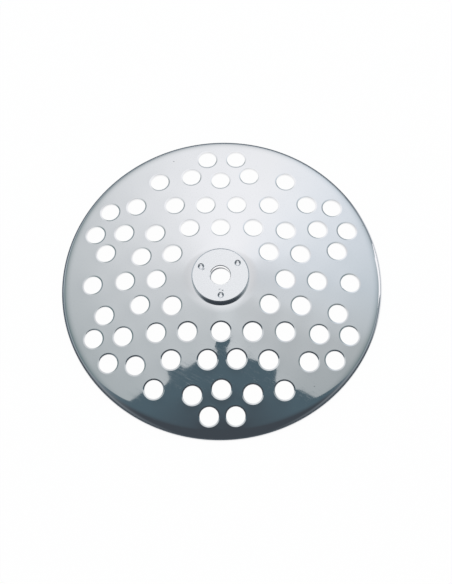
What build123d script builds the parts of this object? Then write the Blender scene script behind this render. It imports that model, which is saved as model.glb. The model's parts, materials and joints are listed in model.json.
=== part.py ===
from build123d import *
import os
from math import cos, radians, sin, tan

# Sieve disc of a hand-cranked food mill: a pressed, punched stainless sheet with a turned hub
# welded to its middle. Millimetres and degrees, +Z along the spindle, rim edge on Z = 0.

# Sheet
disc_diameter = 138.0
sheet_thickness = 1.0
cone_angle = 9.75  # fall of the dish from the hub to the rim
rim_inside_radius = 1.0  # inside of the bend that turns the rim down
rim_skirt = 0.5  # straight upright edge below that bend
land_margin = 1.4  # from the hub's side to where the flat land would meet the cone
land_bend_radius = 20.0  # top of the soft bend between land and cone

# Hub
hub_diameter = 24.8
hub_thickness = 2.5
hub_edge_chamfer = 0.4
spindle_bore = 8.5
bore_chamfer = 0.25
sheet_bore_clearance = 0.2  # the sheet's own hole stands back this far from the hub's bore

# Weld dimples, the marks that the welding punches leave in the hub's face
dimple_count = 3
dimple_circle = 18.3
dimple_first_angle = 34.0
dimple_diameter = 2.6
dimple_floor_diameter = 1.4
dimple_depth = 0.8

# Sieve holes, in rings of equal sectors that start at -Y and run anticlockwise
sector_count = 6
hole_diameter = 8.0
first_ring_margin = 11.5  # from the hub's side to the centres of the innermost ring
last_ring_margin = 9.45  # from the disc's edge to the centres of the outermost ring
row_lean = 0.5  # the rows on and between the sector axes lean towards each other
section_angle = -10.0  # the pressed section is drawn where it passes between the holes

disc_radius = disc_diameter / 2
hub_radius = hub_diameter / 2
bore_radius = spindle_bore / 2
hole_radius = hole_diameter / 2
sheet_bore_radius = bore_radius + sheet_bore_clearance

half_sector = 180 / sector_count
on_axis = row_lean
between = half_sector - row_lean
# Each ring: its share of the way from the innermost ring to the outermost one, and the angles of
# its holes from the sector's axis
rings = [
    (0.0, [on_axis]),
    (0.102, [between]),
    (0.342, [-10.85, 10.85]),
    (0.483, [between]),
    (0.68, [on_axis]),
    (0.784, [-14.2, 14.2]),
    (0.88, [between]),
    (1.0, [-6.1, 6.1]),
]
# Holes that were punched out of step: (ring, sector, place in the sector) and degrees along the ring
stray_holes = {
    (2, 0, 0): 2.2,
    (2, 2, 1): -1.6,
    (2, 4, 0): 2.8,
    (2, 4, 1): 0.8,
    (2, 5, 0): -1.6,
    (4, 1, 0): -0.5,
    (4, 2, 0): -0.5,
    (4, 4, 0): 0.5,
    (5, 0, 0): 1.0,
    (5, 0, 1): 0.9,
    (5, 1, 1): -0.6,
    (5, 3, 0): 0.6,
    (5, 3, 1): 0.6,
    (5, 5, 0): 0.6,
    (5, 5, 1): 1.8,
    (6, 0, 0): -0.6,
    (6, 4, 0): 0.9,
    (7, 0, 0): 1.5,
    (7, 4, 0): 1.0,
    (7, 4, 1): 0.7,
    (7, 5, 0): 0.6,
    (7, 5, 1): 0.8,
}

# Heights of the sheet's top line, worked out from the rim edge upwards
rim_outside_radius = rim_inside_radius + sheet_thickness
rim_corner_height = rim_skirt + rim_outside_radius * tan(radians((90 - cone_angle) / 2))
land_corner_radius = hub_radius + land_margin
land_height = rim_corner_height + (disc_radius - land_corner_radius) * tan(radians(cone_angle))


def hole_centres():
    """Centres of the sieve holes, seen from above."""
    first_radius = hub_radius + first_ring_margin
    last_radius = disc_radius - last_ring_margin
    centres = []
    for ring, (share, angles) in enumerate(rings):
        radius = first_radius + share * (last_radius - first_radius)
        for sector in range(sector_count):
            for place, angle in enumerate(angles):
                turn = -90 + sector * 2 * half_sector + angle
                turn += stray_holes.get((ring, sector, place), 0)
                centres.append((radius * cos(radians(turn)), radius * sin(radians(turn))))
    return centres


# Sieve plate: the pressed section turned about the spindle, then punched
with BuildPart() as sieve_plate:
    with BuildSketch(Plane.XZ.rotated((0, 0, section_angle))):
        with BuildLine():
            FilletPolyline(
                (sheet_bore_radius, land_height),
                (land_corner_radius, land_height),
                (disc_radius, rim_corner_height),
                (disc_radius, 0),
                radius=[land_bend_radius, rim_outside_radius],
            )
            offset(amount=sheet_thickness, side=Side.RIGHT)
        make_face()
    revolve(axis=Axis.Z)
    with BuildSketch():
        with Locations(*hole_centres()):
            Circle(hole_radius)
    extrude(amount=land_height, mode=Mode.SUBTRACT)

# Hub: a turned disc, its top edges chamfered and its face dimpled by the weld
with BuildPart() as hub:
    with BuildSketch(Plane.XY.offset(land_height)):
        Circle(hub_radius)
        Circle(bore_radius, mode=Mode.SUBTRACT)
    extrude(amount=hub_thickness)
    top_edges = hub.faces().sort_by(Axis.Z)[-1].edges().sort_by(SortBy.RADIUS)
    chamfer(top_edges[0], length=bore_chamfer)
    chamfer(top_edges[-1], length=hub_edge_chamfer)
    with Locations((0, 0, land_height + hub_thickness)):
        with PolarLocations(dimple_circle / 2, dimple_count, start_angle=dimple_first_angle):
            Cone(
                bottom_radius=dimple_floor_diameter / 2,
                top_radius=dimple_diameter / 2,
                height=dimple_depth,
                align=(Align.CENTER, Align.CENTER, Align.MAX),
                mode=Mode.SUBTRACT,
            )

sieve_plate.part.label = "sieve_plate"
hub.part.label = "hub"

os.makedirs("parts", exist_ok=True)
export_step(sieve_plate.part, "parts/sieve_plate.step")
export_step(hub.part, "parts/hub.step")
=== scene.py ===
"""Sieve disc of a hand-cranked food mill: its punched, polished sheet, its welded hub and a small studio."""

import json
from math import asin, atan, cos, hypot, pi, radians, sin, tan

import bmesh
import bpy
import numpy as np
from bpy.props import FloatProperty, FloatVectorProperty, IntProperty, PointerProperty, StringProperty
from mathutils import Matrix, Vector


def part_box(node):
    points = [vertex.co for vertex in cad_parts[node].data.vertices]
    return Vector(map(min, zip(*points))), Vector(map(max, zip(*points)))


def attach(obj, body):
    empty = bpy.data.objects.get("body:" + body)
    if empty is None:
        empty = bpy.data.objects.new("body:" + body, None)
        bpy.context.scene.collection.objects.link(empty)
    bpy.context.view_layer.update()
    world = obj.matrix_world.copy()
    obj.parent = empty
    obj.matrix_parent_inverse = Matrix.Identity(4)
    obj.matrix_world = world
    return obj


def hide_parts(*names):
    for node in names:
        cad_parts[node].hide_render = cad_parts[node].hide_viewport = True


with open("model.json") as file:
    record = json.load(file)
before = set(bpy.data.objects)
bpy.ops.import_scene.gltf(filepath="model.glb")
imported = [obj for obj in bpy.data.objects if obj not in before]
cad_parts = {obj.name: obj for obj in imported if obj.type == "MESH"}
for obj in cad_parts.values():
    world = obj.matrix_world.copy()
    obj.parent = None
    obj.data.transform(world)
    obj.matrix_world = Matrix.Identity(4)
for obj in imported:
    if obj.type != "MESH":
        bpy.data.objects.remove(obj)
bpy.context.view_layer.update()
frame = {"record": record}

bl_info = {
    "name": "Food Mill Sieve Disc",
    "version": (1, 0, 0),
    "blender": (4, 5, 0),
    "location": "View3D > Sidebar > Sieve Disc",
    "description": "Models the punched sheet and welded hub of a food mill sieve disc, and its studio",
    "category": "Add Mesh",
}

MM = 0.001
MOUNTS = {mount["name"]: mount for mount in frame["record"]["mounts"]}
SHEET_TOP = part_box("sieve_plate")[1].z
HUB_LOW, HUB_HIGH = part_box("hub")
BORE_RADIUS = MOUNTS["spindle_bore"]["dims"]["r_mm"] * MM

# Rings of holes from the hub outwards: share of the way from the first ring to the last, and the
# angles of the holes from the axis of each sixth of the disc
SECTORS = 6
ROW_LEAN = 0.5
BETWEEN = 180 / SECTORS - ROW_LEAN
RINGS = [
    (0.0, [ROW_LEAN]),
    (0.102, [BETWEEN]),
    (0.342, [-10.85, 10.85]),
    (0.483, [BETWEEN]),
    (0.68, [ROW_LEAN]),
    (0.784, [-14.2, 14.2]),
    (0.88, [BETWEEN]),
    (1.0, [-6.1, 6.1]),
]
# Holes that were punched out of step: (ring, sector, place in the sector) and degrees along the ring
STRAY_HOLES = {
    (2, 0, 0): 2.2,
    (2, 2, 1): -1.6,
    (2, 4, 0): 2.8,
    (2, 4, 1): 0.8,
    (2, 5, 0): -1.6,
    (4, 1, 0): -0.5,
    (4, 2, 0): -0.5,
    (4, 4, 0): 0.5,
    (5, 0, 0): 1.0,
    (5, 0, 1): 0.9,
    (5, 1, 1): -0.6,
    (5, 3, 0): 0.6,
    (5, 3, 1): 0.6,
    (5, 5, 0): 0.6,
    (5, 5, 1): 1.8,
    (6, 0, 0): -0.6,
    (6, 4, 0): 0.9,
    (7, 0, 0): 1.5,
    (7, 4, 0): 1.0,
    (7, 4, 1): 0.7,
    (7, 5, 0): 0.6,
    (7, 5, 1): 0.8,
}

# Tiny pits in the polished sheet, seen from above, and their half sizes
PITS = [(39.24 * MM, -46.44 * MM), (61.59 * MM, 27.4 * MM), (-21.21 * MM, 58.75 * MM)]
PIT_HALF_SIZES = (0.27 * MM, 0.22 * MM, 0.2 * MM)
# Nicks in the hub's face: place, half sizes and turn
NICKS = [
    ((1.08 * MM, -7.08 * MM), (0.55 * MM, 0.3 * MM, 0.5 * MM), -40),
    ((-0.35 * MM, -6.6 * MM), (0.5 * MM, 0.22 * MM, 0.16 * MM), 30),
    ((-7.22 * MM, 2.58 * MM), (0.65 * MM, 0.3 * MM, 0.18 * MM), 35),
]
# Where the three welding punches struck, in degrees from +X
DIMPLE_ANGLES = [36.5, 154, 271.5]

# Steps of the dish's section over its land, its soft bend, its cone and its drooping rim
DISH_STEPS = [6, 10, 40, 12]
# Rounded edge of the sheet's own hole: its width and its slope at the wall
BORE_ROLL = 0.3 * MM
BORE_SLOPE = radians(40)
# Steps round the turned and punched shapes
BORE_SIDES = 72
HUB_SIDES = 128
DIMPLE_SIDES = 40
SHADE_RING_SIDES = 96
# Edges that turn more than this are shaded sharp
SHEET_SMOOTH = radians(28)
HUB_SMOOTH = radians(25)

# Studio: the white world and floor, and the walls of the dark room
WORLD_LIGHT = 0.55
FLOOR_SIZE = 8.0
FLOOR_GLOW = 1.03
FLOOR_GLOW_SHARE = 0.93
ROOM_RADIUS = 3.0
# Paler and dimmer patches of the soft light: middle, reach, and brightness in the middle
GLOW_PATCHES = [
    ((-0.16, 0.31), (0.18, 0.17), 0.84),
    ((0.14, 0.31), (0.18, 0.17), 0.84),
    ((0.01, 0.1), (0.09, 0.16), 1.09),
    ((0.3, 0.02), (0.25, 0.16), 0.9),
]
# Upright cards that the steel mirrors: name, middle, width and height, turn in degrees, and colour
CARDS = [
    ("white_card", (0.119, 0.035, 0.0435), (0.044, 0.063), 16, "FCFCFF"),
    ("grey_card", (-0.85, 0.8, 0.68), (1.0, 0.65), 137, "A8B1B8"),
    ("far_card", (0, 1.9, 0.83), (2.6, 0.27), 90, "D2D8DE"),
]
CARD_GLOW = 1.1


def length(name, description, default):
    """A size in metres that a user may change."""
    return FloatProperty(name=name, description=description, default=default, unit="LENGTH", precision=5)


def angle(name, description, degrees):
    """An angle that a user may change."""
    return FloatProperty(name=name, description=description, default=radians(degrees), subtype="ANGLE")


class SieveSheetSizes(bpy.types.PropertyGroup):
    """Sizes of the pressed and punched sheet."""

    disc_diameter: length("Disc Diameter", "Outside of the turned-down rim", 138 * MM)
    thickness: length("Thickness", "Thickness of the sheet", 1.0 * MM)
    cone: angle("Cone", "Fall of the dish from the hub to the rim", 9.75)
    rim_radius: length("Rim Radius", "Outside of the bend that turns the rim down", 2.0 * MM)
    rim_ease: length("Rim Ease", "From the disc's edge to where the dish starts to droop", 4.6 * MM)
    rim_droop: angle("Rim Droop", "How far the dish has drooped where the rim's bend starts", 5.0)
    rim_break: length("Rim Break", "Broken corner of the rim's lower edge", 0.12 * MM)
    bore_ledge: length("Bore Ledge", "How far the sheet's edge stands into the hub's bore", 0.1 * MM)
    bore_offset: FloatVectorProperty(
        name="Bore Offset",
        description="How far the sheet's hole was punched off the middle",
        default=(0.12 * MM, -0.1 * MM, 0),
        subtype="TRANSLATION",
        precision=5,
    )
    land_margin: length("Land Margin", "From the hub's side to the middle of the soft bend", 1.4 * MM)
    land_bend: length("Land Bend", "Top radius of the soft bend round the flat land", 30 * MM)
    bow: length("Bow", "How far the dish swells above a true cone half way out", 0.085 * MM)
    hole_diameter: length("Hole Diameter", "Sieve holes, at the punched wall", 8.0 * MM)
    hole_roll: length("Hole Roll", "Width of the edge that the punch drew down", 0.65 * MM)
    hole_slope: angle("Hole Slope", "Slope of that rounded edge at the hole's wall", 14)
    hole_lift: length("Hole Lift", "How far pressing raised the sheet at the edge of a hole", 0.034 * MM)
    hole_lift_reach: length("Hole Lift Reach", "How far from a hole the rise falls to a third", 2.0 * MM)
    first_ring: length("First Ring", "From the hub's side to the innermost ring of holes", 11.5 * MM)
    last_ring: length("Last Ring", "From the disc's edge to the outermost ring of holes", 9.45 * MM)
    turns: IntProperty(name="Turns", description="Steps of the sheet round the disc", default=360, min=90)
    hole_sides: IntProperty(name="Hole Sides", description="Steps round each hole", default=56, min=16)


class HubSizes(bpy.types.PropertyGroup):
    """Sizes of the turned hub and of the marks in its face."""

    chamfer: length("Chamfer", "Width of the slope round the hub's face", 0.45 * MM)
    chamfer_drop: length("Chamfer Drop", "Height of the slope round the hub's face", 0.21 * MM)
    side_inset: length("Side Inset", "How far the turned side stands inside its nominal size", 0.12 * MM)
    bore_chamfer: length("Bore Chamfer", "Slope at the bore's mouth", 0.25 * MM)
    dimple_circle: length("Dimple Circle", "Radius of the circle that the weld dimples stand on", 9.15 * MM)
    dimple_mouth: length("Dimple Mouth", "Radius of a dimple at the hub's face", 1.3 * MM)
    dimple_brow: length("Dimple Brow", "Half width of the worn edge round a dimple's mouth", 0.1 * MM)
    dimple_floor: length("Dimple Floor", "Radius of a dimple's floor", 0.7 * MM)
    dimple_depth: length("Dimple Depth", "Depth of a weld dimple", 0.8 * MM)


class StudioSettings(bpy.types.PropertyGroup):
    """Camera, floor and lights."""

    azimuth: angle("Azimuth", "How far round the camera stands from -Y", 4.66)
    elevation: angle("Elevation", "How far above the floor the camera looks from", 68.44)
    roll: angle("Roll", "How far the camera is tipped about its own axis", 4.84)
    distance: length("Distance", "From the camera to the point it looks at", 702.7 * MM)
    aim: FloatVectorProperty(
        name="Aim",
        description="Point that the camera looks at",
        default=(2.23 * MM, -5.30 * MM, 7.78 * MM),
        subtype="TRANSLATION",
        precision=5,
    )
    lens: FloatProperty(name="Lens", description="Focal length in millimetres", default=101.75)
    floor_colour: StringProperty(name="Floor", description="Floor colour, as sRGB hex", default="F7F7F8")
    card_height: length("Card Height", "Height of the soft light over the floor", 0.7)
    card_near: length("Card Near Edge", "Edge of the soft light on the camera's side", -0.022)
    card_far: length("Card Far Edge", "Edge of the soft light on the far side", 1.3)
    card_left: length("Card Left Edge", "Left edge of the soft light", -0.75)
    card_right: length("Card Right Edge", "Right edge of the soft light", 0.62)
    card_split: length("Card Split", "Where the soft light's two panels meet", -0.045)
    card_step: length("Card Step", "How far the left panel stands out towards the camera", 0.014)
    card_turn: angle("Card Turn", "How far the soft light is turned on the floor's plan", -1.2)
    card_strength: FloatProperty(name="Card Strength", description="Light's brightness", default=1.05)


def linear(hex_colour):
    """Linear colour of an sRGB hex value."""
    channels = [int(hex_colour[i : i + 2], 16) / 255 for i in (0, 2, 4)]
    return [c / 12.92 if c <= 0.04045 else ((c + 0.055) / 1.055) ** 2.4 for c in channels] + [1.0]


def add_node(tree, kind, inputs=None, **settings):
    """A node with its settings; an input is a value, or an output socket to link from."""
    node = tree.nodes.new(kind)
    for name, value in settings.items():
        setattr(node, name, value)
    for name, value in (inputs or {}).items():
        if isinstance(value, bpy.types.NodeSocket):
            tree.links.new(value, node.inputs[name])
        else:
            node.inputs[name].default_value = value
    return node


def new_material(name):
    """An empty material and its output node."""
    material = bpy.data.materials.new(name)
    material.use_nodes = True
    tree = material.node_tree
    tree.nodes.clear()
    return material, tree, add_node(tree, "ShaderNodeOutputMaterial")


def polished_stainless():
    """Mirror-polished stainless sheet: a clear cool reflection, with fine polishing lines across it."""
    material, tree, output = new_material("mirror_polished_stainless")
    place = add_node(tree, "ShaderNodeTexCoord").outputs["Object"]
    # Real polishing lines are finer: these are 0.5 mm wide and 20 mm long, so that they show
    along = add_node(
        tree,
        "ShaderNodeMapping",
        {"Vector": place, "Rotation": (0, 0, radians(-30)), "Scale": (40, 1, 1)},
        vector_type="TEXTURE",
    ).outputs["Vector"]
    lines = add_node(
        tree,
        "ShaderNodeTexNoise",
        {"Vector": along, "Scale": 1 / (0.5 * MM), "Detail": 2.0, "Roughness": 0.6},
    ).outputs["Fac"]
    roughness = add_node(
        tree,
        "ShaderNodeMapRange",
        {"Value": lines, "From Min": 0.52, "From Max": 0.85, "To Min": 0.03, "To Max": 0.13},
    ).outputs["Result"]
    bump = add_node(
        tree, "ShaderNodeBump", {"Height": lines, "Strength": 0.006, "Distance": 0.02 * MM}
    ).outputs["Normal"]
    shader = add_node(
        tree,
        "ShaderNodeBsdfPrincipled",
        {"Base Color": linear("EEEEEF"), "Metallic": 1.0, "Roughness": roughness, "Normal": bump},
    ).outputs["BSDF"]
    tree.links.new(shader, output.inputs["Surface"])
    return material


def satin_stainless():
    """Ground stainless hub: a pale satin face with a faint mottle, and a turned side painted darker as
    painted shade.
    """
    material, tree, output = new_material("satin_ground_stainless")
    place = add_node(tree, "ShaderNodeTexCoord").outputs["Object"]
    # The marks of the grit are finer: a mottle of 0.8 mm shows
    mottle = add_node(
        tree, "ShaderNodeTexNoise", {"Vector": place, "Scale": 1 / (0.8 * MM), "Detail": 1.0}
    ).outputs["Fac"]
    bump = add_node(
        tree, "ShaderNodeBump", {"Height": mottle, "Strength": 0.06, "Distance": 0.05 * MM}
    ).outputs["Normal"]
    # The turned side, painted darker as painted shade: the outermost part of the hub, from just under the
    # slope of its edge
    side_start, side_end = HUB_HIGH.x - 0.7 * MM, HUB_HIGH.x - 0.6 * MM
    slope_foot, side_top = HUB_HIGH.z - 0.22 * MM, HUB_HIGH.z - 0.3 * MM
    height = add_node(tree, "ShaderNodeSeparateXYZ", {"Vector": place}).outputs["Z"]
    flat = add_node(
        tree, "ShaderNodeVectorMath", {0: place, 1: (1, 1, 0)}, operation="MULTIPLY"
    ).outputs["Vector"]
    radius = add_node(tree, "ShaderNodeVectorMath", {0: flat}, operation="LENGTH").outputs["Value"]
    outer = add_node(
        tree, "ShaderNodeMapRange", {"Value": radius, "From Min": side_start, "From Max": side_end}
    ).outputs["Result"]
    lower = add_node(
        tree, "ShaderNodeMapRange", {"Value": height, "From Min": slope_foot, "From Max": side_top}
    ).outputs["Result"]
    painted_side_shade = add_node(tree, "ShaderNodeMath", {0: outer, 1: lower}, operation="MULTIPLY").outputs[0]
    # Painted shade: the turned side's steel is coloured darker than the face's
    colour = add_node(
        tree,
        "ShaderNodeMix",
        {"Factor": painted_side_shade, "A": linear("FDFDFE"), "B": linear("D4D7DA")},
        data_type="RGBA",
    ).outputs[2]
    shader = add_node(
        tree,
        "ShaderNodeBsdfPrincipled",
        {"Base Color": colour, "Metallic": 1.0, "Roughness": 0.2, "Normal": bump},
    ).outputs["BSDF"]
    tree.links.new(shader, output.inputs["Surface"])
    return material


def arc(centre, radius, start, end, steps):
    """Points of an arc in a section, from one angle to another, both ends included."""
    turns = [start + (end - start) * i / steps for i in range(steps + 1)]
    return [(centre[0] + radius * cos(t), centre[1] + radius * sin(t)) for t in turns]


def spun_piece(name, section, steps, closed):
    """A section of (radius, height) points drawn vertex by vertex and spun once about Z."""
    bpy.ops.object.select_all(action="DESELECT")
    bpy.ops.mesh.primitive_plane_add(size=MM)
    piece = bpy.context.object
    piece.name = piece.data.name = name
    bpy.ops.object.mode_set(mode="EDIT")
    bpy.ops.mesh.select_all(action="SELECT")
    bpy.ops.mesh.merge(type="CENTER")
    bpy.ops.transform.translate(value=(section[0][0], 0, section[0][1]))
    for here, there in zip(section, section[1:]):
        step = (there[0] - here[0], 0, there[1] - here[1])
        bpy.ops.mesh.extrude_vertices_move(TRANSFORM_OT_translate={"value": step})
    if closed:
        drawn = bmesh.from_edit_mesh(piece.data)
        for vertex in drawn.verts:
            vertex.select = len(vertex.link_edges) == 1
        bmesh.update_edit_mesh(piece.data)
        bpy.ops.mesh.edge_face_add()
    bpy.ops.mesh.select_all(action="SELECT")
    bpy.ops.mesh.spin(steps=steps, angle=2 * pi, center=(0, 0, 0), axis=(0, 0, 1))
    bpy.ops.mesh.select_all(action="SELECT")
    bpy.ops.mesh.remove_doubles(threshold=0.001 * MM)
    bpy.ops.mesh.normals_make_consistent(inside=False)
    bpy.ops.object.mode_set(mode="OBJECT")
    return piece


def copies_joined(piece, places):
    """One object made of copies of a piece, each with its own mesh; the piece itself is used up."""
    bpy.ops.object.select_all(action="DESELECT")
    for place in places:
        copy = piece.copy()
        copy.data = piece.data.copy()
        copy.matrix_world = place
        bpy.context.collection.objects.link(copy)
        copy.select_set(True)
    bpy.context.view_layer.objects.active = copy
    bpy.data.objects.remove(piece)
    bpy.ops.object.join()
    bpy.ops.object.transform_apply(location=True, rotation=True, scale=True)
    return bpy.context.object


def pit_cutter(name, half_sizes):
    """A small flattened ball that cuts a shallow pit."""
    bpy.ops.object.select_all(action="DESELECT")
    bpy.ops.mesh.primitive_uv_sphere_add(segments=20, ring_count=12, radius=1)
    ball = bpy.context.object
    ball.name = ball.data.name = name
    ball.scale = half_sizes
    bpy.ops.object.transform_apply(location=True, rotation=True, scale=True)
    return ball


def cut(piece, cutter):
    """Takes the cutter's shape out of a piece, marks the new edges sharp and removes the cutter."""
    if not piece.data.materials:
        piece.data.materials.append(bpy.data.materials.new("rough_piece"))
    cutter.data.materials.append(bpy.data.materials.new("cut_face"))
    modifier = piece.modifiers.new("cut", "BOOLEAN")
    modifier.operation = "DIFFERENCE"
    modifier.solver = "EXACT"
    modifier.material_mode = "TRANSFER"
    modifier.object = cutter
    bpy.ops.object.select_all(action="DESELECT")
    piece.select_set(True)
    bpy.context.view_layer.objects.active = piece
    bpy.ops.object.modifier_apply(modifier=modifier.name)
    bpy.data.objects.remove(cutter)
    piece.active_material_index = len(piece.data.materials) - 1
    bpy.ops.object.mode_set(mode="EDIT")
    bpy.ops.mesh.select_mode(type="FACE")
    bpy.ops.mesh.select_all(action="DESELECT")
    bpy.ops.object.material_slot_select()
    bpy.ops.mesh.region_to_loop()
    bpy.ops.mesh.mark_sharp()
    bpy.ops.mesh.select_mode(type="VERT")
    bpy.ops.object.mode_set(mode="OBJECT")


def points_of(piece):
    """A piece's vertices, as rows of x, y and z."""
    points = np.empty(3 * len(piece.data.vertices))
    piece.data.vertices.foreach_get("co", points)
    return points.reshape(-1, 3)


def move_points(piece, points):
    """Puts a piece's vertices at the given rows of x, y and z."""
    piece.data.vertices.foreach_set("co", points.ravel())
    piece.data.update()


def finish_piece(piece, node, material, smooth_angle):
    """Shades a piece, gives it its material and lets it stand for its CAD node."""
    bpy.ops.object.select_all(action="DESELECT")
    piece.select_set(True)
    bpy.context.view_layer.objects.active = piece
    bpy.ops.object.shade_smooth_by_angle(angle=smooth_angle, keep_sharp_edges=True)
    normals = piece.modifiers.new("normals", "WEIGHTED_NORMAL")
    normals.mode = "FACE_AREA"
    normals.weight = 90
    normals.keep_sharp = True
    bpy.ops.object.modifier_apply(modifier=normals.name)
    markers = [marker for marker in piece.data.materials if marker]
    piece.data.materials.clear()
    for marker in markers:
        bpy.data.materials.remove(marker)
    piece.data.materials.append(material)
    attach(piece, "root")
    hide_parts(node)


def dish_corners(sizes):
    """Radii where the land ends, where the cone starts, and where the rim's bend starts."""
    outside = sizes.disc_diameter / 2
    land = HUB_HIGH.x + sizes.land_margin - sizes.land_bend * tan(sizes.cone / 2)
    cone_start = land + sizes.land_bend * sin(sizes.cone)
    cone_end = outside - sizes.rim_radius * (1 - sin(sizes.cone + sizes.rim_droop))
    return land, cone_start, cone_end


def dish_fall(sizes, radius):
    """Angle that the sheet's top falls at, from the flat land to where the rim's bend starts."""
    outside = sizes.disc_diameter / 2
    land, cone_start, cone_end = dish_corners(sizes)
    if radius < cone_start:
        return asin(max(radius - land, 0) / sizes.land_bend)
    share = (radius - cone_start) / (cone_end - cone_start)
    bowed = atan(tan(sizes.cone) - 4 * sizes.bow * (1 - 2 * share) / (cone_end - cone_start))
    eased = max(radius - outside + sizes.rim_ease, 0) / (cone_end - outside + sizes.rim_ease)
    return bowed + sizes.rim_droop * eased**2


def dish_line(sizes):
    """Radii, heights and falls along the sheet's top, from the bore to where the rim's bend starts."""
    land, cone_start, cone_end = dish_corners(sizes)
    inside_bore = 0.7 * BORE_RADIUS
    corners = [inside_bore, land, cone_start, sizes.disc_diameter / 2 - sizes.rim_ease, cone_end]
    radii = [inside_bore]
    for here, there, count in zip(corners, corners[1:], DISH_STEPS):
        radii += [here + (there - here) * i / count for i in range(1, count + 1)]
    falls = [dish_fall(sizes, radius) for radius in radii]
    heights = [SHEET_TOP]
    for i in range(1, len(radii)):
        heights.append(heights[-1] - (radii[i] - radii[i - 1]) * tan((falls[i] + falls[i - 1]) / 2))
    return radii, heights, falls


def sheet_section(sizes):
    """The pressed section: the top line outwards, the rim's edge, and the underside back to the bore."""
    outside = sizes.disc_diameter / 2
    radii, heights, falls = dish_line(sizes)
    outer, inner = sizes.rim_radius, sizes.rim_radius - sizes.thickness
    bend = pi / 2 - falls[-1]
    centre = (outside - outer, heights[-1] - outer * sin(bend))
    to_break = max(sizes.rim_break - centre[1], 0)
    outer_end, inner_end = asin(to_break / outer), asin(to_break / inner)
    top_rim = arc(centre, outer, bend, outer_end, 16)
    under_rim = arc(centre, inner, inner_end, bend, 8)
    edge = [
        (top_rim[-1][0], sizes.rim_break),
        (top_rim[-1][0] - sizes.rim_break, 0),
        (under_rim[0][0] + sizes.rim_break, 0),
        (under_rim[0][0], sizes.rim_break),
    ]
    if centre[1] <= sizes.rim_break:
        edge = edge[1:3]
    under = [
        (radius - sizes.thickness * sin(fall), height - sizes.thickness * cos(fall))
        for radius, height, fall in zip(radii, heights, falls)
    ]
    return list(zip(radii, heights)) + top_rim[1:] + edge + under_rim[:-1] + under[::-2]


def hole_places(sizes):
    """Radius and angle of each sieve hole."""
    first = HUB_HIGH.x + sizes.first_ring
    last = sizes.disc_diameter / 2 - sizes.last_ring
    places = []
    for ring, (share, angles) in enumerate(RINGS):
        for sector in range(SECTORS):
            for place, offset in enumerate(angles):
                turn = -90 + sector * 360 / SECTORS + offset + STRAY_HOLES.get((ring, sector, place), 0)
                places.append((first + share * (last - first), radians(turn)))
    return places


def punch_section(sizes, wall, roll, slope):
    """Section of what a punch takes out: the wall, the rolled edge, and the air over the sheet."""
    last_slope, roll_steps, lip = tan(radians(4)), 9, 0.4 * MM
    edge = []
    for i in range(roll_steps + 1):
        left = roll * (1 - i / roll_steps)
        depth = left * last_slope + (tan(slope) - last_slope) * left**2 / roll / 2
        edge.append((wall + roll - left, -depth))
    below, above = -2 * sizes.thickness, 2 * sizes.thickness
    edge += [(wall + roll + lip, lip * last_slope), (wall + roll + lip, above), (0, above)]
    return [(0, below), (wall, below)] + edge


class SIEVEDISC_OT_sheet(bpy.types.Operator):
    """Spin the pressed sheet, punch its holes and polish it"""

    bl_idname = "sieve_disc.sheet"
    bl_label = "Punched Sheet"
    bl_options = {"REGISTER", "UNDO"}

    def execute(self, context):
        sizes = context.scene.sieve_sheet
        sheet = spun_piece("sieve_sheet", sheet_section(sizes), sizes.turns, closed=True)
        places = hole_places(sizes)
        section = punch_section(sizes, sizes.hole_diameter / 2, sizes.hole_roll, sizes.hole_slope)
        punch = spun_piece("punch", section, sizes.hole_sides, closed=False)
        radii, heights, falls = dish_line(sizes)
        stands = []
        for radius, turn in places:
            height, fall = np.interp(radius, radii, heights), np.interp(radius, radii, falls)
            turned = Matrix.Rotation(turn, 4, "Z")
            stands.append(turned @ Matrix.Translation((radius, 0, height)) @ Matrix.Rotation(fall, 4, "Y"))
        punches = copies_joined(punch, stands)
        self.dress_punches(punches, sizes, places)
        cut(sheet, punches)
        section = punch_section(sizes, BORE_RADIUS - sizes.bore_ledge, BORE_ROLL, BORE_SLOPE)
        bore_punch = spun_piece("bore_punch", section, BORE_SIDES, closed=False)
        middle = Matrix.Translation(Vector(sizes.bore_offset) + Vector((0, 0, SHEET_TOP)))
        cut(sheet, copies_joined(bore_punch, [middle]))
        pit = pit_cutter("pit", PIT_HALF_SIZES)
        pits = [Matrix.Translation((x, y, np.interp(hypot(x, y), radii, heights))) for x, y in PITS]
        cut(sheet, copies_joined(pit, pits))
        self.raise_holes(sheet, sizes, places)
        finish_piece(sheet, "sieve_plate", polished_stainless(), SHEET_SMOOTH)
        return {"FINISHED"}

    def dress_punches(self, punches, sizes, places):
        """Shapes the face of every punch to the dish that it strikes."""
        points = points_of(punches)
        radii, heights, falls = dish_line(sizes)
        middles = np.array([(radius * cos(turn), radius * sin(turn)) for radius, turn in places])
        nearest = np.argmin(np.linalg.norm(points[:, None, :2] - middles, axis=2), axis=1)
        radius, turn = np.array(places)[nearest].T
        along = points[:, 0] * np.cos(turn) + points[:, 1] * np.sin(turn) - radius
        flat = np.interp(radius, radii, heights) - along * np.tan(np.interp(radius, radii, falls))
        points[:, 2] += np.interp(np.hypot(points[:, 0], points[:, 1]), radii, heights) - flat
        move_points(punches, points)

    def raise_holes(self, sheet, sizes, places):
        """Lifts the sheet a little round every hole, as pressing a punched sheet does."""
        points = points_of(sheet)
        edge = sizes.hole_diameter / 2 + sizes.hole_roll
        rise = np.zeros(len(points))
        for radius, turn in places:
            away = np.hypot(points[:, 0] - radius * cos(turn), points[:, 1] - radius * sin(turn)) - edge
            rise += sizes.hole_lift * np.exp(-np.maximum(away, 0) / sizes.hole_lift_reach)
        points[:, 2] += rise
        move_points(sheet, points)


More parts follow.
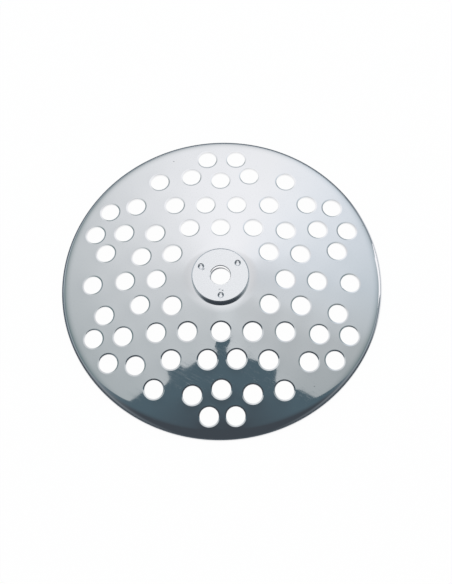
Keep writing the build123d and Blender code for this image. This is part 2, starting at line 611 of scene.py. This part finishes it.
class SIEVEDISC_OT_hub(bpy.types.Operator):
    """Turn the hub, chamfer it and sink its weld dimples"""

    bl_idname = "sieve_disc.hub"
    bl_label = "Welded Hub"
    bl_options = {"REGISTER", "UNDO"}

    def execute(self, context):
        sizes = context.scene.sieve_hub
        outside, low, high = HUB_HIGH.x - sizes.side_inset, HUB_LOW.z, HUB_HIGH.z
        bore = BORE_RADIUS
        section = [
            (bore, low),
            (bore, high - sizes.bore_chamfer),
            (bore + sizes.bore_chamfer, high),
            (outside - sizes.chamfer, high),
            (outside, high - sizes.chamfer_drop),
            (outside, low),
        ]
        hub = spun_piece("hub_disc", section, HUB_SIDES, closed=True)
        mouth, floor, depth = sizes.dimple_mouth, sizes.dimple_floor, sizes.dimple_depth
        brow, air = sizes.dimple_brow, 1 * MM
        section = [
            (0, -depth),
            (floor, -depth),
            (mouth - brow, -brow),
            (mouth + brow, 0),
            (mouth + brow, air),
            (0, air),
        ]
        dimple = spun_piece("dimple", section, DIMPLE_SIDES, closed=False)
        stands = []
        for degrees in DIMPLE_ANGLES:
            turn = radians(degrees)
            spot = (sizes.dimple_circle * cos(turn), sizes.dimple_circle * sin(turn), high)
            stands.append(Matrix.Translation(spot))
        cut(hub, copies_joined(dimple, stands))
        for number, (spot, half_sizes, degrees) in enumerate(NICKS):
            place = Matrix.Translation((*spot, high)) @ Matrix.Rotation(radians(degrees), 4, "Z")
            cut(hub, copies_joined(pit_cutter(f"nick_{number}", half_sizes), [place]))
        finish_piece(hub, "hub", satin_stainless(), HUB_SMOOTH)
        return {"FINISHED"}


class SIEVEDISC_OT_stage(bpy.types.Operator):
    """Set the pale floor, the soft light, the dark room that the steel mirrors, and the camera"""

    bl_idname = "sieve_disc.stage"
    bl_label = "Studio"
    bl_options = {"REGISTER", "UNDO"}

    def execute(self, context):
        studio = context.scene.sieve_studio
        self.white_surround(context.scene)
        self.floor(studio)
        self.soft_light(studio)
        self.dark_room()
        for card in CARDS:
            self.side_card(*card)
        self.painted_floor_shade()
        self.camera(context.scene, studio)
        context.scene.view_settings.view_transform = "Standard"
        return {"FINISHED"}

    def seen(self, tree):
        """1 for a ray that shows the backdrop itself: to the camera, in a mirror or through glass."""
        path = add_node(tree, "ShaderNodeLightPath").outputs
        share = path["Is Camera Ray"]
        for ray in (path["Is Glossy Ray"], path["Is Transmission Ray"]):
            share = add_node(tree, "ShaderNodeMath", {0: share, 1: ray}, operation="MAXIMUM").outputs[0]
        return share

    def reflected_only(self, thing, material):
        """Gives a wall or card its material, and lets only the steel's reflections show it."""
        material.cycles.emission_sampling = "NONE"
        thing.data.materials.append(material)
        thing.visible_camera = False
        thing.visible_diffuse = False
        thing.visible_transmission = False
        thing.visible_shadow = False

    def white_surround(self, scene):
        """A white world that lights the disc gently."""
        world = bpy.data.worlds.new("studio")
        world.use_nodes = True
        scene.world = world
        tree = world.node_tree
        tree.nodes.clear()
        strength = add_node(
            tree, "ShaderNodeMapRange", {"Value": self.seen(tree), "To Min": WORLD_LIGHT, "To Max": 1.0}
        ).outputs["Result"]
        light = add_node(
            tree, "ShaderNodeBackground", {"Color": linear("FFFFFF"), "Strength": strength}
        ).outputs[0]
        add_node(tree, "ShaderNodeOutputWorld", {"Surface": light})

    def floor(self, studio):
        """A pale floor that takes the disc's shadow and shows as white."""
        bpy.ops.object.select_all(action="DESELECT")
        bpy.ops.mesh.primitive_plane_add(size=FLOOR_SIZE)
        floor = bpy.context.object
        floor.name = "studio_floor"
        material, tree, output = new_material("white_studio_floor")
        matt = add_node(tree, "ShaderNodeBsdfDiffuse", {"Color": linear(studio.floor_colour)}).outputs[0]
        white = add_node(
            tree, "ShaderNodeEmission", {"Color": linear("FFFFFF"), "Strength": FLOOR_GLOW}
        ).outputs[0]
        share = add_node(
            tree, "ShaderNodeMath", {0: self.seen(tree), 1: FLOOR_GLOW_SHARE}, operation="MULTIPLY"
        ).outputs[0]
        mix = add_node(tree, "ShaderNodeMixShader", {0: share, 1: matt, 2: white}).outputs[0]
        tree.links.new(mix, output.inputs["Surface"])
        floor.data.materials.append(material)

    def soft_light(self, studio):
        """Two glowing panels side by side over the disc, the left one reaching nearer to the camera."""
        near, split = studio.card_near, studio.card_split
        panels = [
            ("soft_light_left", studio.card_left, split, near - studio.card_step),
            ("soft_light_right", split, studio.card_right, near),
        ]
        material = self.soft_light_glow(studio)
        for name, left, right, near in panels:
            bpy.ops.object.select_all(action="DESELECT")
            bpy.ops.mesh.primitive_plane_add(size=1)
            card = bpy.context.object
            card.name = name
            card.location = ((left + right) / 2, (near + studio.card_far) / 2, studio.card_height)
            card.scale = (right - left, studio.card_far - near, 1)
            card.rotation_euler = (pi, 0, 0)
            bpy.ops.object.transform_apply(location=True, rotation=True, scale=True)
            card.rotation_euler = (0, 0, studio.card_turn)
            bpy.ops.object.transform_apply(location=True, rotation=True, scale=True)
            card.data.materials.append(material)
            card.visible_camera = False

    def soft_light_glow(self, studio):
        """Glow of the soft light: brightest beyond the disc, and bluer at the far right."""
        material, tree, output = new_material("soft_light_glow")
        place = add_node(tree, "ShaderNodeTexCoord").outputs["Object"]
        brightest, reach, lean = (0.017, 0.59, studio.card_height), (0.752, 0.966, 1), radians(-8.6)
        centred = add_node(
            tree,
            "ShaderNodeMapping",
            {"Vector": place, "Location": brightest, "Rotation": (0, 0, lean), "Scale": reach},
            vector_type="TEXTURE",
        ).outputs["Vector"]
        falloff = add_node(
            tree, "ShaderNodeVectorMath", {0: centred, 1: centred}, operation="DOT_PRODUCT"
        ).outputs["Value"]
        share = add_node(tree, "ShaderNodeMapRange", {"Value": falloff, "From Max": 0.8}).outputs["Result"]
        colour = add_node(
            tree,
            "ShaderNodeMix",
            {"Factor": share, "A": linear("FAFBFE"), "B": linear("62777A")},
            data_type="RGBA",
        ).outputs[2]
        sides = add_node(tree, "ShaderNodeSeparateXYZ", {"Vector": place}).outputs
        blue = 1.0
        for axis, start, end in [("X", 0.12, 0.4), ("Y", 0.1, 0.28)]:
            share = add_node(
                tree, "ShaderNodeMapRange", {"Value": sides[axis], "From Min": start, "From Max": end}
            ).outputs["Result"]
            blue = add_node(tree, "ShaderNodeMath", {0: blue, 1: share}, operation="MULTIPLY").outputs[0]
        colour = add_node(
            tree,
            "ShaderNodeMix",
            {"Factor": blue, "A": colour, "B": (0.97, 1.02, 1.07, 1.0)},
            data_type="RGBA",
            blend_type="MULTIPLY",
        ).outputs[2]
        strength = studio.card_strength
        for centre, reach, middle in GLOW_PATCHES:
            patch = add_node(
                tree,
                "ShaderNodeMapping",
                {"Vector": place, "Location": (*centre, studio.card_height), "Scale": (*reach, 1)},
                vector_type="TEXTURE",
            ).outputs["Vector"]
            away = add_node(
                tree, "ShaderNodeVectorMath", {0: patch, 1: patch}, operation="DOT_PRODUCT"
            ).outputs["Value"]
            share = add_node(
                tree,
                "ShaderNodeMapRange",
                {"Value": away, "To Min": middle, "To Max": 1.0},
                interpolation_type="SMOOTHSTEP",
            ).outputs["Result"]
            strength = add_node(
                tree, "ShaderNodeMath", {0: strength, 1: share}, operation="MULTIPLY"
            ).outputs[0]
        glow = add_node(tree, "ShaderNodeEmission", {"Color": colour, "Strength": strength}).outputs[0]
        tree.links.new(glow, output.inputs["Surface"])
        return material

    def dark_room(self):
        """The unlit studio round the soft light, darkest towards the camera and paler at its sides."""
        bpy.ops.object.select_all(action="DESELECT")
        bpy.ops.mesh.primitive_uv_sphere_add(segments=48, ring_count=24, radius=ROOM_RADIUS)
        room = bpy.context.object
        room.name = "dark_room"
        bpy.ops.object.mode_set(mode="EDIT")
        bpy.ops.mesh.select_all(action="SELECT")
        bpy.ops.mesh.bisect(plane_co=(0, 0, MM), plane_no=(0, 0, 1), clear_inner=True)
        bpy.ops.object.mode_set(mode="OBJECT")
        material, tree, output = new_material("dark_room_wall")
        place = add_node(tree, "ShaderNodeTexCoord").outputs["Object"]
        sides = add_node(tree, "ShaderNodeSeparateXYZ", {"Vector": place}).outputs
        colour = linear("52656F")
        for start, end, tone in [(-0.08, -0.3, "444B52"), (0.6, 2.4, "76818C")]:
            share = add_node(
                tree, "ShaderNodeMapRange", {"Value": sides["Y"], "From Min": start, "From Max": end}
            ).outputs["Result"]
            colour = add_node(
                tree, "ShaderNodeMix", {"Factor": share, "A": colour, "B": linear(tone)}, data_type="RGBA"
            ).outputs[2]
        sideways = add_node(tree, "ShaderNodeMath", {0: sides["X"]}, operation="ABSOLUTE").outputs[0]
        # The side walls are paler above the floor, and less so towards the camera
        camera_side = {"Value": sides["Y"], "From Min": -1.4, "From Max": 0.2, "To Min": 0.3}
        lit = add_node(tree, "ShaderNodeMapRange", camera_side).outputs["Result"]
        for value, start, end in [(sideways, 0.9, 2.0), (sides["Z"], 0.4, 1.4)]:
            share = add_node(
                tree,
                "ShaderNodeMapRange",
                {"Value": value, "From Min": start, "From Max": end},
                interpolation_type="SMOOTHSTEP",
            ).outputs["Result"]
            lit = add_node(tree, "ShaderNodeMath", {0: lit, 1: share}, operation="MULTIPLY").outputs[0]
        colour = add_node(
            tree, "ShaderNodeMix", {"Factor": lit, "A": colour, "B": linear("9CA5AC")}, data_type="RGBA"
        ).outputs[2]
        wall = add_node(tree, "ShaderNodeEmission", {"Color": colour, "Strength": 1.0}).outputs[0]
        tree.links.new(wall, output.inputs["Surface"])
        self.reflected_only(room, material)

    def side_card(self, name, place, size, turn, colour):
        """An upright pale card, which gives the rim and the side of the dish something to mirror."""
        bpy.ops.object.select_all(action="DESELECT")
        bpy.ops.mesh.primitive_plane_add(size=1)
        card = bpy.context.object
        card.name = name
        card.scale = (size[1], size[0], 1)
        card.rotation_euler = (0, radians(-90), radians(turn))
        card.location = place
        bpy.ops.object.transform_apply(location=True, rotation=True, scale=True)
        material, tree, output = new_material(f"{name}_face")
        glow = add_node(
            tree, "ShaderNodeEmission", {"Color": linear(colour), "Strength": CARD_GLOW}
        ).outputs[0]
        tree.links.new(glow, output.inputs["Surface"])
        self.reflected_only(card, material)

    def painted_floor_shade(self):
        """A dark ring round the disc that only the steel's reflections show: painted shade of the floor
        round the rim, which draws the rim's dark outline, with a paler gap at the right.
        """
        inside, outside, height = 70 * MM, 400 * MM, 0.5 * MM
        gap_middle, gap_end, shade_start = 0.525, 0.05, 0.08  # shares of a full turn
        shade_ring = spun_piece("painted_floor_shade", [(inside, height), (outside, height)], SHADE_RING_SIDES, closed=False)
        material, tree, output = new_material("painted_floor_shade_ring")
        place = add_node(tree, "ShaderNodeTexCoord").outputs["Object"]
        turn = add_node(
            tree, "ShaderNodeTexGradient", {"Vector": place}, gradient_type="RADIAL"
        ).outputs["Fac"]
        off_gap = add_node(tree, "ShaderNodeMath", {0: turn, 1: gap_middle}, operation="SUBTRACT").outputs[0]
        off_gap = add_node(tree, "ShaderNodeMath", {0: off_gap}, operation="ABSOLUTE").outputs[0]
        shade_share = add_node(
            tree, "ShaderNodeMapRange", {"Value": off_gap, "From Min": gap_end, "From Max": shade_start}
        ).outputs["Result"]
        # Painted shade: dark glow for the shaded floor round the rim, pale in the gap at the right
        colour = add_node(
            tree,
            "ShaderNodeMix",
            {"Factor": shade_share, "A": linear("E6E9EE"), "B": linear("58626A")},
            data_type="RGBA",
        ).outputs[2]
        glow = add_node(tree, "ShaderNodeEmission", {"Color": colour, "Strength": 1.0}).outputs[0]
        tree.links.new(glow, output.inputs["Surface"])
        self.reflected_only(shade_ring, material)

    def camera(self, scene, studio):
        """The camera of the photo."""
        data = bpy.data.cameras.new("photo_camera")
        camera = bpy.data.objects.new("photo_camera", data)
        scene.collection.objects.link(camera)
        data.lens = studio.lens
        data.sensor_width = 36
        data.sensor_fit = "AUTO"
        a, e, r = studio.azimuth, studio.elevation, studio.roll
        back = Vector((sin(a) * cos(e), -cos(a) * cos(e), sin(e)))
        right = Vector((cos(a), sin(a), 0))
        up = back.cross(right)
        x_axis = right * cos(r) - up * sin(r)
        y_axis = right * sin(r) + up * cos(r)
        turn = Matrix((x_axis, y_axis, back)).transposed()
        camera.location = Vector(studio.aim) + back * studio.distance
        camera.rotation_euler = turn.to_euler()
        scene.camera = camera


class SIEVEDISC_PT_panel(bpy.types.Panel):
    """The pieces of the sieve disc and their sizes"""

    bl_idname = "SIEVEDISC_PT_panel"
    bl_label = "Sieve Disc"
    bl_space_type = "VIEW_3D"
    bl_region_type = "UI"
    bl_category = "Sieve Disc"

    def draw(self, context):
        for operator, group in PIECES:
            self.layout.operator(operator.bl_idname)
            sizes = getattr(context.scene, group)
            column = self.layout.column()
            for name in sizes.__annotations__:
                column.prop(sizes, name)


PIECES = [
    (SIEVEDISC_OT_stage, "sieve_studio"),
    (SIEVEDISC_OT_sheet, "sieve_sheet"),
    (SIEVEDISC_OT_hub, "sieve_hub"),
]
GROUPS = {"sieve_studio": StudioSettings, "sieve_sheet": SieveSheetSizes, "sieve_hub": HubSizes}
CLASSES = [*GROUPS.values(), *(operator for operator, group in PIECES), SIEVEDISC_PT_panel]


def register():
    for cls in CLASSES:
        bpy.utils.register_class(cls)
    for name, group in GROUPS.items():
        setattr(bpy.types.Scene, name, PointerProperty(type=group))


def unregister():
    for name in GROUPS:
        delattr(bpy.types.Scene, name)
    for cls in reversed(CLASSES):
        bpy.utils.unregister_class(cls)


def main():
    register()
    bpy.ops.sieve_disc.stage()
    bpy.ops.sieve_disc.sheet()
    bpy.ops.sieve_disc.hub()


if __name__ == "__main__":
    main()
